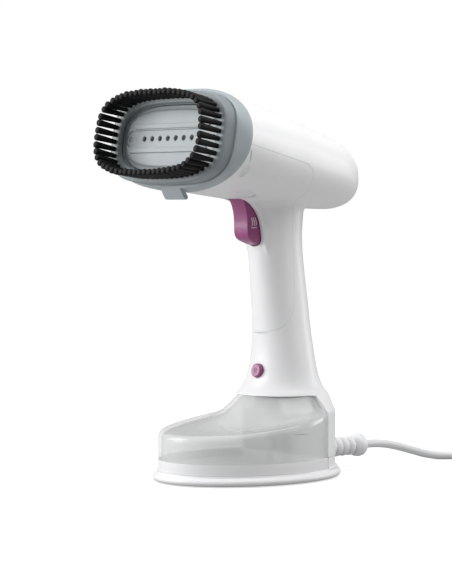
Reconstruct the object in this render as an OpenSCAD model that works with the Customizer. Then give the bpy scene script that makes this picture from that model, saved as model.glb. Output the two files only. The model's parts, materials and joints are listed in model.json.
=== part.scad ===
// Handheld garment steamer standing on its tank base, in millimetres.
// Origin: centre of the oval foot, on the surface it stands on. -Y is the steam face's side, +Z is up.

/* [Foot] */
// Width of the oval foot across X
foot_w = 112; // [110:1:114]
// Length of the oval foot along Y
foot_l = 144; // [142:1:146]
// Height of the foot's rim, where the tank sits
foot_h = 7.5; // [7:0.25:8]

/* [Tank] */
// Inset of the tank wall from the foot's widest line
tank_inset = 3.8; // [3.4:0.2:4.4]
// Height at which the white tank floor meets the clear tank
band_z = 15; // [14:0.5:16]
// Height of the tank's front rim
rim_z = 34.2; // [33:0.5:36]
// Wall of the tank
tank_wall = 2.2; // [1.8:0.2:2.4]

/* [Handle] */
// Wall of the white housings
shell_wall = 2.4; // [2.2:0.1:2.6]
// Height of the joint between handle and tank
neck_z = 57; // [56.5:0.25:57.5]

/* [Head] */
// Tilt of the steam face, up from upright
face_tilt = 10; // [9:0.5:11]
// Height of the centre of the bristle ring
face_z = 234.3; // [233:0.5:236]
// Distance of the bristle ring in front of the origin
face_y = 73.2; // [72.2:0.5:74.2]
// Half width of the bristle ring
ring_a = 53.6; // [53:0.2:54.2]
// Half height of the bristle ring
ring_b = 27.2; // [26.8:0.2:27.6]
// Number of bristle tufts
tufts = 56; // [48:1:56]
// Length of a bristle tuft
tuft_len = 18; // [14:0.5:19]
// Number of steam holes
steam_holes = 8; // [6:1:9]

/* [Controls] */
// Diameter of the power button
button_d = 9.5; // [9:0.25:10]
// Half width of the trigger
trigger_half = 7; // [6:0.25:7.25]

/* [Cord] */
// Diameter of the mains cord
cord_d = 6; // [5.5:0.25:6]

/* [Hidden] */

white = [0.93, 0.93, 0.94];
grey = [0.52, 0.56, 0.58];
plate_grey = [0.66, 0.69, 0.70];
purple = [0.50, 0.20, 0.42];
frost = [0.85, 0.87, 0.88, 0.6];
black = [0.05, 0.05, 0.05];
steel = [0.70, 0.71, 0.73];
rubber = [0.20, 0.20, 0.21];

clearance = 0.3;
foot_a = foot_w / 2;
foot_b = foot_l / 2;
wall_a = foot_a - tank_inset;      // oval of the tank wall and the spine
wall_b = foot_b - tank_inset - 0.2;
spine_y = 34.5;                    // front wall of the spine, behind the tank
spine_z = 46;                      // height at which the spine starts to lean in to the handle
relief_z = 15.4;                   // axis of the cord's strain relief
relief_end = 112;
sides = 44;                        // points round a lofted section
fine = 32;

// Handle sections, from the tank joint up: height, centre in Y, half width, half length
HANDLE = [
    [neck_z, 32.5, 31, 31.5], [62, 33, 27.6, 28], [68, 33.3, 25.2, 25], [76, 33.3, 23.5, 22.6],
    [88, 33, 21.6, 21.1], [102, 32, 19.6, 20.5], [124, 30, 17.8, 20.4], [145, 27.4, 17.2, 20],
    [165, 25.4, 17.6, 19.6], [186, 25.4, 19.4, 20], [205, 26, 21, 21]
];
// Barrel sections, from the mouth back: Y, centre height, half width, half height
BARREL = [
    [-66, 234.6, 63, 35.1], [-50, 232, 60.4, 34.8], [-30, 228.6, 56.4, 34], [-5, 224, 51, 32.3],
    [20, 219.5, 46, 30.3], [45, 215, 40.5, 28], [62, 212, 36.5, 26], [73, 209.6, 32.5, 23.8],
    [81, 207.6, 27, 20], [86, 206.2, 20.5, 14.8], [88.5, 205.4, 11, 8]
];
// Joint between the front housing and the rear housing, seen from the side: Y, Z
SEAM = [
    [-90, 236], [5, 218.2], [12, 216.4], [17.5, 213.5], [20.8, 209], [22, 203], [24, 192], [25.2, 182],
    [27.3, 150], [28.4, 124], [28, 113], [25, 105], [20, 100.5], [13, 98.4], [5, 98], [-90, 98]
];
// Cord from the strain relief to the coil
CORD = [
    [0, relief_end, 15.4], [0, 124, 15.2], [0, 136, 14], [1, 148, 11.5], [3, 160, 8.2], [6, 171, 5],
    [10, 181, 3.3], [15, 189, 3.1], [22, 193.6, 3.3], [30, 196.6, 3.7], [39, 198, 4.1], [46, 198, 4.1]
];
coil_x = 60;
coil_y = 238;
coil_mid = 34.9;                   // radius at the middle of the coil's turns
coil_band = 9.2;                   // half width of the wound turns
coil_h = 19.4;
// Cord from the top of the coil, over it and into the plug
TAIL = [
    [77.5, 207.7, 19.6], [84.7, 213.2, 21.2], [90.3, 221, 22.2], [94.2, 231, 22.5], [95, 240, 22.5],
    [92.9, 250, 22.5], [88.6, 258.2, 22.5], [82.5, 264.8, 22.5], [75, 269.9, 23], [66.5, 273.3, 24.2],
    [57.5, 272.7, 26.2], [50.7, 268.6, 28], [45.1, 262.2, 28.5]
];
plug_at = [45.1, 262.2, 28.5];
plug_turn = 228;

// ---------- Shape helpers ----------

// Point on a rounded oval of half sizes a and b; n = 2 is an ellipse and more is squarer
function oval(a, b, n, t) = [
    a * sign(cos(t)) * pow(abs(cos(t)), 2 / n),
    b * sign(sin(t)) * pow(abs(sin(t)), 2 / n)
];
function oval_points(a, b, n, count = sides) = [for (i = [0:count - 1]) oval(a, b, n, 360 * i / count)];
// Level section at height s[0]
function level_ring(s, inset, n) = [
    for (p = oval_points(s[2] - inset, s[3] - inset, n)) [p[0], p[1] + s[1], s[0]]
];
// Upright section at Y = s[0]
function upright_ring(s, inset, n) = [
    for (p = oval_points(s[2] - inset, s[3] - inset, n)) [-p[0], s[0], p[1] + s[1]]
];

// Closed skin through a list of rings with equal numbers of points
module loft(rings) {
    n = len(rings[0]);
    m = len(rings);
    skin = [
        for (i = [0:m - 2], j = [0:n - 1])
            each [
                [i * n + j, (i + 1) * n + j, (i + 1) * n + (j + 1) % n],
                [i * n + j, (i + 1) * n + (j + 1) % n, i * n + (j + 1) % n]
            ]
    ];
    first = [for (j = [0:n - 1]) j];
    last = [for (j = [n - 1:-1:0]) (m - 1) * n + j];
    polyhedron([for (r = rings) each r], concat([first], skin, [last]));
}

// Round tube swept along a list of points
module sweep(path, r, count = 8) {
    last = len(path) - 1;
    rings = [
        for (i = [0:last])
            let (
                ahead = path[min(i + 1, last)] - path[max(i - 1, 0)],
                t = ahead / norm(ahead),
                side0 = abs(t[2]) > 0.9 ? cross(t, [0, 1, 0]) : cross(t, [0, 0, 1]),
                side = side0 / norm(side0),
                up = cross(side, t)
            )
            [for (k = [0:count - 1]) path[i] + r * (cos(360 * k / count) * side - sin(360 * k / count) * up)]
    ];
    loft(rings);
}

// Smooth path through points, by Catmull-Rom pieces
function smooth(p, steps) = [
    for (i = [0:len(p) - 2], s = [0:steps - 1])
        let (
            a = p[max(i - 1, 0)], b = p[i], c = p[i + 1], d = p[min(i + 2, len(p) - 1)],
            u = s / steps
        )
        0.5 * ((2 * b) + (c - a) * u + (2 * a - 5 * b + 4 * c - d) * u * u + (3 * b - a - 3 * c + d) * u * u * u),
    p[len(p) - 1]
];

// Round wire helix along +Z
module helix(r, wire, height, turns) {
    steps = turns * 12;
    sweep([for (i = [0:steps]) [r * cos(30 * i), r * sin(30 * i), height * i / steps]], wire, 6);
}

// Oval of half sizes a, b cut off in front of Y = y0
module oval_rear(a, b, y0) {
    from = asin(y0 / b);
    polygon([for (i = [0:24]) let (t = from + (180 - 2 * from) * i / 24) [a * cos(t), b * sin(t)]]);
}

module oval_plate(a, b, z0, z1, n = 2) {
    translate([0, 0, z0]) linear_extrude(z1 - z0) polygon(oval_points(a, b, n, 72));
}

// Head axes: X across, Y up the steam face, Z out of it; origin at the centre of the bristle ring
module in_head() {
    translate([0, -face_y, face_z]) rotate([90 - face_tilt, 0, 0]) children();
}

// Button axes: Z out along the button's travel; origin on the handle's surface
button_z = 73.6;
button_y = 10.4;
button_tilt = 10.6;
module in_button() {
    translate([0, button_y, button_z]) rotate([90 - button_tilt, 0, 0]) children();
}

// ---------- Housings ----------

module handle_form(inset) {
    loft([for (s = HANDLE) level_ring(s + [s[0] == neck_z ? inset : 0, 0, 0, 0], inset, 2.2)]);
}

module barrel_form(inset) {
    last = len(BARREL) - 1;
    loft([
        for (i = [0:last])
            upright_ring(BARREL[i] - [i == last ? inset : 0, 0, 0, 0], i > last - 2 ? inset * 0.8 : inset, 2.25)
    ]);
}

module spine_form(inset) {
    a = wall_a - inset;
    b = wall_b - inset;
    y0 = spine_y + inset;
    neck = HANDLE[0];
    translate([0, 0, band_z]) linear_extrude(spine_z - band_z) oval_rear(a, b, y0);
    hull() {
        translate([0, 0, spine_z - 0.02]) linear_extrude(0.02) oval_rear(a, b, y0);
        translate([0, neck[1], neck_z + inset + 0.2])
            linear_extrude(0.02)
                intersection() {
                    polygon(oval_points(neck[2] - inset, neck[3] - inset, 2.2));
                    translate([-50, y0 - neck[1]]) square([100, 60]);
                }
    }
}

module seam_side(to = 80) {
    translate([-to, 0, 0]) rotate([90, 0, 90]) linear_extrude(2 * to) polygon(SEAM);
}

// Everything in front of the head's mouth
module ahead_of_mouth(depth) {
    in_head() translate([-90, -70, depth]) cube([180, 150, 120]);
}

mouth = -25.6;
mouth_back = -33;                  // back of the boiler's water inlet, behind the face

module housing_skin() {
    difference() {
        union() {
            handle_form(0);
            barrel_form(0);
        }
        handle_form(shell_wall);
        barrel_form(shell_wall);
        ahead_of_mouth(mouth - clearance);
    }
}

module rear_shell() color(white) {
    difference() {
        union() {
            difference() {
                union() {
                    handle_form(0);
                    barrel_form(0);
                    spine_form(0);
                }
                handle_form(shell_wall);
                barrel_form(shell_wall);
                spine_form(shell_wall);
                translate([0, 0, band_z - 5])
                    linear_extrude(10)
                        oval_rear(wall_a - shell_wall, wall_b - shell_wall, spine_y + shell_wall);
            }
            for (x = [-28, 28]) translate([x, 41, band_z]) cylinder(r = 5, h = 16, $fn = fine);
        }
        seam_side();
        ahead_of_mouth(mouth - clearance);
        in_button() translate([0, 0, -8]) cylinder(d = button_d + 0.6, h = 16, $fn = fine);
        for (x = [-28, 28]) translate([x, 41, band_z - 1]) cylinder(r = 1.5, h = 14, $fn = fine);
        translate([0, spine_y - 1, valve_z]) rotate([-90, 0, 0]) cylinder(r = 8, h = 5, $fn = fine);
        translate([0, wall_b - 8, relief_z]) rotate([-90, 0, 0]) cylinder(r = 6, h = 12, $fn = fine);
    }
}

trigger_y = 6;
trigger_z = 199;
pin_r = 1.5;
slot_half = trigger_half + 0.7;

module front_shell() color(white) {
    difference() {
        union() {
            intersection() {
                housing_skin();
                seam_side();
            }
            for (s = [-1, 1])
                translate([s * (slot_half + 2.8) - 1.3, 1, 193])
                    cube([2.6, 10, 11]);
        }
        translate([-slot_half, -16, 158.6]) cube([2 * slot_half, 32, 38]);
        translate([-20, trigger_y, trigger_z])
            rotate([0, 90, 0])
                cylinder(r = pin_r + 0.05, h = 40, $fn = fine);
    }
}

// ---------- Foot ----------

screws_at = [[43, 14], [-43, 14], [32, -44], [-32, -44]];

module base_foot() color(white) {
    rim = [
        [0.8, 0, foot_a - 1, foot_b - 1], [2.2, 0, foot_a, foot_b], [3.8, 0, foot_a, foot_b],
        [5, 0, foot_a - 1.2, foot_b - 1.2], [6.2, 0, foot_a - 2.4, foot_b - 2.4],
        [foot_h, 0, foot_a - 2.9, foot_b - 2.9]
    ];
    difference() {
        union() {
            difference() {
                loft([for (s = rim) level_ring(s, 0, 2)]);
                oval_plate(foot_a - 5, foot_b - 5, 0, foot_h - 2);
            }
            difference() {
                translate([0, 0, foot_h - 0.5]) linear_extrude(band_z - foot_h + 0.5)
                    oval_rear(wall_a, wall_b, spine_y);
                translate([0, 0, foot_h]) linear_extrude(band_z)
                    oval_rear(wall_a - shell_wall, wall_b - shell_wall, spine_y + shell_wall);
            }
            for (p = screws_at) translate([p[0], p[1], 3]) cylinder(r = 4, h = foot_h - 4, $fn = fine);
        }
        for (p = screws_at) translate([p[0], p[1], 1]) cylinder(r = 1.5, h = 5.2, $fn = fine);
        for (x = [-28, 28]) translate([x, 41, 0]) cylinder(r = 1.8, h = 12, $fn = fine);
        translate([0, wall_b - 8, relief_z]) rotate([-90, 0, 0]) cylinder(r = 6, h = 12, $fn = fine);
    }
}

module base_plate() color(white) difference() {
    oval_plate(foot_a - 5.4, foot_b - 5.4, 1.2, 2.8);
    oval_plate(36.2, 50.2, 0, 1.6);
    for (p = screws_at) translate([p[0], p[1], 0]) cylinder(r = 1.8, h = 4, $fn = fine);
    for (x = [-28, 28]) translate([x, 41, 0]) cylinder(r = 4, h = 4, $fn = fine);
}

module rubber_pad() color(rubber) oval_plate(36, 50, 0, 1.6);

// Pan-head screw, head down, shank up from z = 0
module screw(head_r, head_h, shank_r, shank_h) difference() {
    union() {
        translate([0, 0, -head_h]) cylinder(r1 = head_r - 0.4, r2 = head_r, h = head_h, $fn = fine);
        cylinder(r = shank_r, h = shank_h, $fn = fine);
    }
    for (a = [0, 90]) rotate([0, 0, a]) translate([-head_r * 0.6, -0.35, -head_h - 1]) cube([head_r * 1.2, 0.7, 1.6]);
}

module plate_screws() color(steel)
    for (p = screws_at) translate([p[0], p[1], 1.19]) screw(2.6, 0.9, 1.4, 4.4);

module spine_screws() color(steel)
    for (x = [-28, 28]) translate([x, 41, 5.49]) screw(3.2, 2, 1.4, 20);

// ---------- Trigger and steam switch ----------

module trigger() color(purple) difference() {
    union() {
        translate([-trigger_half, 0, 0]) rotate([90, 0, 90])
            linear_extrude(2 * trigger_half)
                polygon([
                    [-8.4, 191.6], [-6.6, 188], [-5.3, 184], [-4.6, 179], [-4.4, 172], [-3.8, 168.2], [-1.6, 164.6],
                    [1.6, 161.6], [4.4, 160.3], [7, 160.6], [9, 163], [10.6, 168], [11.6, 176], [12, 184],
                    [11.4, 190], [10, 195], [2.6, 195], [-2, 192.6]
                ]);
        translate([-trigger_half + 1, trigger_y, trigger_z]) rotate([0, 90, 0])
            cylinder(r = 4.2, h = 2 * trigger_half - 2, $fn = fine);
    }
    translate([-20, trigger_y, trigger_z]) rotate([0, 90, 0]) cylinder(r = pin_r + 0.05, h = 40, $fn = fine);
    translate([0, 9.5, 168]) rotate([-80, 0, 0]) cylinder(r = 3.9, h = 5, $fn = fine);
}

module trigger_pin() color(steel)
    translate([-12, trigger_y, trigger_z]) rotate([0, 90, 0]) cylinder(r = pin_r, h = 24, $fn = fine);

module trigger_spring() color(steel)
    translate([0, 10.6, 168.4]) rotate([-90, 0, 0]) helix(3, 0.45, 11.2, 5);

module switch_bracket() color(white) difference() {
    translate([-12, 22.4, 160]) cube([24, 2, 36]);
    translate([0, 20, 182]) for (z = [-8, 8]) translate([0, 0, z]) rotate([-90, 0, 0])
        cylinder(r = 1.2, h = 8, $fn = fine);
}

module steam_switch() color(black) {
    translate([-3.2, 16.4, 173.6]) cube([6.4, 6, 17]);
    translate([-1.2, 14.1, 184]) cube([2.4, 2.4, 2.6]);
    for (x = [-2.4, 1.6]) translate([x, 18, 190.5]) cube([0.8, 3.2, 3.7]);
}

// ---------- Power button ----------

module power_button() color(purple) in_button() {
    difference() {
        union() {
            translate([0, 0, -5.4]) cylinder(d = button_d, h = 7.9, $fn = fine);
            translate([0, 0, 2.49]) cylinder(d1 = button_d, d2 = button_d - 1.2, h = 0.6, $fn = fine);
        }
        translate([-1.1, -1.9, 2.8]) cube([0.5, 3.8, 1]);
        translate([0.6, -1.9, 2.8]) cube([0.5, 3.8, 1]);
    }
    translate([0, 0, -5.6]) cylinder(r = 6.2, h = 1.4, $fn = fine);
    translate([0, 0, -6.8]) cylinder(r = 1.4, h = 1.4, $fn = fine);
}

module button_spring() color(steel) in_button() translate([0, 0, -9.8]) helix(2.9, 0.35, 3.8, 3);

module control_board() color([0.10, 0.30, 0.16]) in_button() {
    translate([-11, -12, -12]) cube([22, 24, 1.6]);
    translate([-1.5, -1.5, -10.4]) cube([3, 3, 2]);
    for (x = [-8, 6]) translate([x, 6, -10.4]) cube([2.4, 4, 2.2]);
    translate([-8, -9, -10.4]) cube([7, 4.6, 3.4]);
}

// ---------- Steam head ----------

module head_plate(a, b, n, z0, z1, up = 0, count = 72) {
    translate([0, up, z0]) linear_extrude(z1 - z0) polygon(oval_points(a, b, n, count));
}

open_a = ring_a - 3.5;
open_b = ring_b - 4;
sole_z = -4;

// Frame that holds the soleplate in the mouth of the barrel
module front_bezel() color(plate_grey) in_head() difference() {
    loft([
        [for (p = oval_points(54.8, 30.4, 2.25)) [p[0], p[1] + 1.7, mouth - 8]],
        [for (p = oval_points(56.6, 30.9, 2.25)) [p[0], p[1] + 1.7, mouth]],
        [for (p = oval_points(57, 29.8, 2.7)) [p[0], p[1] + 0.4, -9]],
        [for (p = oval_points(55, 27.8, 2.9)) [p[0], p[1], -5.2]]
    ]);
    head_plate(open_a, open_b - 0.1, 3, -40, 0);
}

module soleplate() color(plate_grey) in_head() difference() {
    union() {
        head_plate(open_a - 0.5, open_b - 0.6, 3, sole_z - 3, sole_z - 0.6);
        head_plate(open_a - 2.1, open_b - 2.2, 3, sole_z - 0.7, sole_z);
        for (s = [-1, 1])
            translate([0, 8 * s, sole_z - 0.1]) linear_extrude(0.9)
                polygon([[-37, -1], [37, -1], [39, 0.2 * s], [37, 1], [-37, 1], [-39, 0.2 * s]]);
    }
    for (i = [0:steam_holes - 1]) {
        x = 8.2 * (i - (steam_holes - 1) / 2);
        translate([x, 0, sole_z - 4]) cylinder(r = 1.6, h = 6, $fn = fine);
        translate([x, 0, sole_z - 1]) cylinder(r1 = 1.6, r2 = 2.7, h = 1.1, $fn = fine);
    }
    for (x = [-43, 43]) translate([x, 0, sole_z - 0.8]) cylinder(r = 1.8, h = 2, $fn = fine);
    for (p = boiler_screws_at) translate([p[0], p[1], sole_z - 3.1]) cylinder(r = 1.55, h = 2.1, $fn = fine);
}

module sole_gasket() color(rubber) in_head() difference() {
    head_plate(47.6, 21.2, 3, -8, -7);
    head_plate(42, 11, 3, -9, -6);
    for (p = boiler_screws_at) translate([p[0], p[1], -10]) cylinder(r = 1.7, h = 6, $fn = fine);
}

heater_up = 9;
boiler_screws_at = [[33, 15.6], [-33, 15.6], [33, -15.6], [-33, -15.6]];

// U-shaped heating rod, its bend towards +X
module heater_form(r, leg) {
    for (s = [-1, 1]) translate([22 - leg, heater_up * s, -24]) rotate([0, 90, 0]) cylinder(r = r, h = leg, $fn = fine);
    translate([22, 0, -24]) rotate([0, 0, -90]) rotate_extrude(angle = 180, $fn = 48)
        translate([heater_up, 0]) circle(r = r, $fn = fine);
}

module boiler() color(steel) in_head() difference() {
    union() {
        head_plate(48, 21.6, 3, -24, -8);
        translate([-20, 0, mouth_back]) cylinder(r = 2.6, h = 10, $fn = fine);
    }
    head_plate(40, 9, 3, -13, -7);
    translate([-20, 0, -34]) cylinder(r = 1.4, h = 24, $fn = fine);
    heater_form(3.3, 74);
    for (p = boiler_screws_at) translate([p[0], p[1], -30]) cylinder(r = 1.7, h = 26, $fn = fine);
}

module heating_element() color(steel) in_head() {
    heater_form(3.2, 62);
    for (s = [-1, 1])
        translate([-47.5, heater_up * s, -24]) rotate([0, 90, 0]) cylinder(r = 1.1, h = 7.6, $fn = fine);
}

module thermostat() color(black) in_head() {
    translate([6, 0, -31]) cylinder(r = 5.6, h = 7, $fn = fine);
    for (s = [-1, 1]) translate([6 + 3.4 * s - 1.5, -0.4, -36]) cube([3, 0.8, 5.1]);
}

module thermal_fuse() color(steel) in_head()
    translate([-8, -5.2, -26.2]) rotate([-90, 0, 0]) cylinder(r = 2.1, h = 10.4, $fn = fine);

module boiler_screws() color(steel) in_head()
    for (p = boiler_screws_at) translate([p[0], p[1], -24]) screw(2.8, 1.6, 1.4, 18);

// ---------- Fabric brush ----------

module brush_frame() color(grey) in_head() {
    difference() {
        loft([
            [for (p = oval_points(61.4, 35.4, 2.25)) [p[0], p[1] + 1.8, mouth]],
            [for (p = oval_points(62.4, 35.2, 2.7)) [p[0], p[1] + 0.4, -9]],
            [for (p = oval_points(62, 34.6, 2.8)) [p[0], p[1] + 0.1, -6]],
            [for (p = oval_points(59, 31.6, 2.9)) [p[0], p[1], -0.8]],
            [for (p = oval_points(58.2, 30.8, 3)) [p[0], p[1], 0]]
        ]);
        loft([
            [for (p = oval_points(59.2, 33.2, 2.3)) [p[0], p[1] + 1.8, mouth - 1]],
            [for (p = oval_points(59.6, 32.4, 2.7)) [p[0], p[1] + 0.4, -9]],
            [for (p = oval_points(56.6, 29.6, 2.9)) [p[0], p[1], -3.6]]
        ]);
        head_plate(open_a, open_b, 3, -10, 3);
    }
    // Finger tab under the frame, leaning back
    translate([-10, 0, 0]) rotate([90, 0, 90]) linear_extrude(20)
        polygon([[-33.2, -7.8], [-39.2, -14], [-39.8, -15.2], [-39.2, -17.4], [-37.4, -17.6], [-33.2, -13.4]]);
}

// Distance along the bristle ring against the angle there, so that the tufts stand evenly
ring_n = 3.1;
ring_steps = 360;
ring_walk = [
    for (i = 0, s = 0; i <= ring_steps;
        s = s + norm(oval(ring_a, ring_b, ring_n, i + 1) - oval(ring_a, ring_b, ring_n, i)), i = i + 1)
        [s, i]
];
ring_length = ring_walk[ring_steps][0];

module bristle_tufts() color(black) in_head()
    for (i = [0:tufts - 1]) {
        p = oval(ring_a, ring_b, ring_n, lookup(ring_length * (i + 0.5) / tufts, ring_walk));
        translate([p[0], p[1], 0]) cylinder(r1 = 1.5, r2 = 2.15, h = tuft_len, $fn = 16);
    }

// ---------- Tank ----------

function rim_height(y) = min(47, rim_z + 0.06 * (y + 67) + 0.0012 * pow(y + 67, 2));

// Ring between the tank's rim (u = 0) and its neck under the handle (u = 1)
function tank_ring(u, inset, drop) = [
    for (i = [0:sides - 1])
        let (
            t = 360 * i / sides,
            rim = [(wall_a - 0.2 - inset) * cos(t), (wall_b - 0.2 - inset) * sin(t)],
            neck = [(30.6 - inset) * cos(t), 32.5 + (31.1 - inset) * sin(t)],
            p = rim + (neck - rim) * u,
            low = rim_height(rim[1]) - drop,
            high = neck_z - clearance - drop
        )
        [p[0], p[1], low + (high - low) * pow(u, 1.7)]
];

module tank_form(inset, drop, z0) {
    a = wall_a - 0.2 - inset;
    b = wall_b - 0.2 - inset;
    loft([
        [for (p = oval_points(a, b, 2)) [p[0], p[1], z0]],
        for (u = [0, 0.05, 0.15, 0.3, 0.5, 0.75, 1]) tank_ring(u, inset, drop)
    ]);
}

fill_y = 18;
valve_z = 24;

module tank_shell() color(frost) difference() {
    intersection() {
        tank_form(0, 0, band_z);
        translate([-80, -90, 0]) cube([160, 90 + spine_y - clearance, 80]);
    }
    intersection() {
        tank_form(tank_wall, tank_wall, band_z - 1);
        translate([-80, -90, 0]) cube([160, 90 + spine_y - clearance - tank_wall, 80]);
    }
    translate([0, fill_y, 40]) cylinder(r = 8, h = 30, $fn = fine);
    translate([0, fill_y, neck_z - clearance - 1.2]) cylinder(r = 10.5, h = 3, $fn = fine);
    translate([0, 20, valve_z]) rotate([-90, 0, 0]) cylinder(r = 5, h = 30, $fn = fine);
}

module tank_floor() color(white) difference() {
    intersection() {
        oval_plate(wall_a - 0.2, wall_b - 0.2, foot_h + clearance, band_z);
        translate([-80, -90, 0]) cube([160, 90 + spine_y - clearance, 80]);
    }
    intersection() {
        oval_plate(wall_a - 0.2 - tank_wall, wall_b - 0.2 - tank_wall, foot_h + clearance + 2, band_z + 1);
        translate([-80, -90, 0]) cube([160, 90 + spine_y - clearance - tank_wall, 80]);
    }
}

module fill_cap() color(grey) {
    translate([0, fill_y, neck_z - clearance - 1.2]) cylinder(r = 10.2, h = 1.2, $fn = fine);
    translate([0, fill_y, neck_z - 8]) cylinder(r = 7.9, h = 7, $fn = fine);
}

module tank_valve() color(grey) difference() {
    union() {
        translate([0, 26, valve_z]) rotate([-90, 0, 0]) cylinder(r = 4.95, h = 14.6, $fn = fine);
        translate([0, 24, valve_z]) rotate([-90, 0, 0]) cylinder(r = 6.4, h = 2.2, $fn = fine);
    }
    translate([0, 20, valve_z]) rotate([-90, 0, 0]) cylinder(r = 1.8, h = 30, $fn = fine);
    translate([0, 20, valve_z]) rotate([-90, 0, 0]) cylinder(r = 2.9, h = 9, $fn = fine);
}

module pickup_tube() color(frost) difference() {
    union() {
        translate([0, 22, valve_z]) rotate([-90, 0, 0]) cylinder(r = 2.8, h = 6.9, $fn = fine);
        translate([0, 20.4, 11]) cylinder(r = 2.8, h = valve_z - 11 + 2.8, $fn = fine);
    }
    translate([0, 20.4, 9]) cylinder(r = 1.7, h = valve_z - 9, $fn = fine);
    translate([0, 20.4, valve_z]) rotate([-90, 0, 0]) cylinder(r = 1.7, h = 10, $fn = fine);
}

// ---------- Water path in the base ----------

module valve_socket() color(grey) difference() {
    union() {
        translate([0, spine_y, valve_z]) rotate([-90, 0, 0]) cylinder(r = 7.9, h = 9.5, $fn = fine);
        translate([0, spine_y + 2.5, valve_z]) rotate([-90, 0, 0]) cylinder(r = 9.4, h = 1.8, $fn = fine);
        translate([0, 43, valve_z]) rotate([-90, 0, 0]) cylinder(r = 2.2, h = 5, $fn = fine);
    }
    translate([0, 30, valve_z]) rotate([-90, 0, 0]) cylinder(r = 5.2, h = 12, $fn = fine);
    translate([0, 37, valve_z]) rotate([-90, 0, 0]) cylinder(r = 7, h = 1.9, $fn = fine);
    translate([0, 30, valve_z]) rotate([-90, 0, 0]) cylinder(r = 1.3, h = 22, $fn = fine);
}

module valve_seal() color(rubber)
    translate([0, 37.95, valve_z]) rotate([-90, 0, 0]) rotate_extrude($fn = 48)
        translate([5.98, 0]) circle(r = 0.9, $fn = 24);

pump_z = 36;
pump_y = 52;

module water_pump() color(steel) {
    translate([-16, pump_y, pump_z]) rotate([0, 90, 0]) cylinder(r = 8.5, h = 28, $fn = fine);
    translate([11.9, pump_y, pump_z]) rotate([0, 90, 0]) cylinder(r = 5.5, h = 4, $fn = fine);
    translate([15.8, pump_y, pump_z]) rotate([0, 90, 0]) cylinder(r = 1.8, h = 6, $fn = fine);
    translate([-22, pump_y, pump_z]) rotate([0, 90, 0]) cylinder(r = 1.8, h = 6.1, $fn = fine);
}

// Two posts on a strip, which the pump lies on
module pump_bracket() color(white) difference() {
    union() {
        for (x = [-15.5, 9.7]) translate([x, pump_y + 2.5, foot_h]) cube([2.4, 6.5, pump_z - foot_h]);
        translate([-15.5, pump_y + 2.5, foot_h]) cube([27.6, 6.5, 2]);
    }
    for (x = [-6.4, 6.4]) translate([x, 57.7, foot_h - 1]) cylinder(r = 1.5, h = 4, $fn = fine);
    translate([-20, pump_y, pump_z]) rotate([0, 90, 0]) cylinder(r = 8.55, h = 40, $fn = fine);
}

// Flexible tubes: routes inside the spine and the handle, without their straight ends
SUCTION = [
    [0, 48.9, valve_z], [3, 51, 23.6], [8, 51, 23], [14, 50, 23.4], [20, 49.6, 25.6], [24.4, 50.2, 29.6],
    [25.6, 51.2, 33.6], [24.8, 51.8, 35.6], [23, 52, pump_z]
];
inlet_y = -face_y - mouth_back * cos(face_tilt);
inlet_z = face_z + mouth_back * sin(face_tilt);
DELIVERY = [
    [-23, 52, pump_z], [-25.6, 51.3, 38], [-25, 50, 43], [-18, 47, 54], [-11, 43, 66], [-8, 40, 84],
    [-7, 38, 104], [-7, 35.5, 126], [-7, 33.5, 148], [-7, 32.5, 170], [-8, 31, 190], [-11, 22, 208],
    [-15, 2, 219], [-19, -18, 224], [-20, inlet_y + 8, inlet_z - 1.4], [-20, inlet_y + 1, inlet_z - 0.18]
];
LEADS = [
    [0, 61.9, relief_z], [0, 56, relief_z], [2, 50, 13.8], [9, 45.5, 13], [15, 43, 17], [18, 42.4, 26],
    [18, 42.4, 38], [15, 44, 50], [11, 45, 60], [9, 43, 70], [7, 40.5, 84], [6, 39, 104],
    [6, 37, 126], [6, 34.5, 148], [6, 33.5, 170], [8, 32, 190], [14, 22, 206], [22, -2, 216], [26, -18, 219]
];

module suction_hose() color(frost)
    sweep(concat([[0, 48, valve_z]], smooth(SUCTION, 2), [[22, pump_y, pump_z]]), 2.9, 8);
module delivery_hose() color(frost)
    sweep(concat([[-22, pump_y, pump_z]], smooth(DELIVERY, 2), [[-20, inlet_y, inlet_z]]), 2.9, 8);
module inner_leads() color(black) sweep(smooth(LEADS, 2), 2.4, 8);

// ---------- Mains cord ----------

module cord_clamp() color(white) difference() {
    translate([-9, 55, 16.2]) cube([18, 5.5, 3.4]);
    for (x = [-6.4, 6.4]) translate([x, 57.7, 15]) cylinder(r = 1.5, h = 6, $fn = fine);
    translate([0, 50, relief_z]) rotate([-90, 0, 0]) cylinder(r = 2.5, h = 12, $fn = fine);
}

module clamp_screws() color(steel)
    for (x = [-6.4, 6.4]) translate([x, 57.7, 19.61]) mirror([0, 0, 1]) screw(2.4, 1.4, 1.3, 12);

module relief_rib(y, r, w) {
    translate([0, y, relief_z]) rotate([-90, 0, 0]) {
        cylinder(r1 = r - 1.3, r2 = r, h = w * 0.35, $fn = fine);
        translate([0, 0, w * 0.35]) cylinder(r = r, h = w * 0.3, $fn = fine);
        translate([0, 0, w * 0.65]) cylinder(r1 = r, r2 = r - 1.3, h = w * 0.35, $fn = fine);
    }
}

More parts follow.
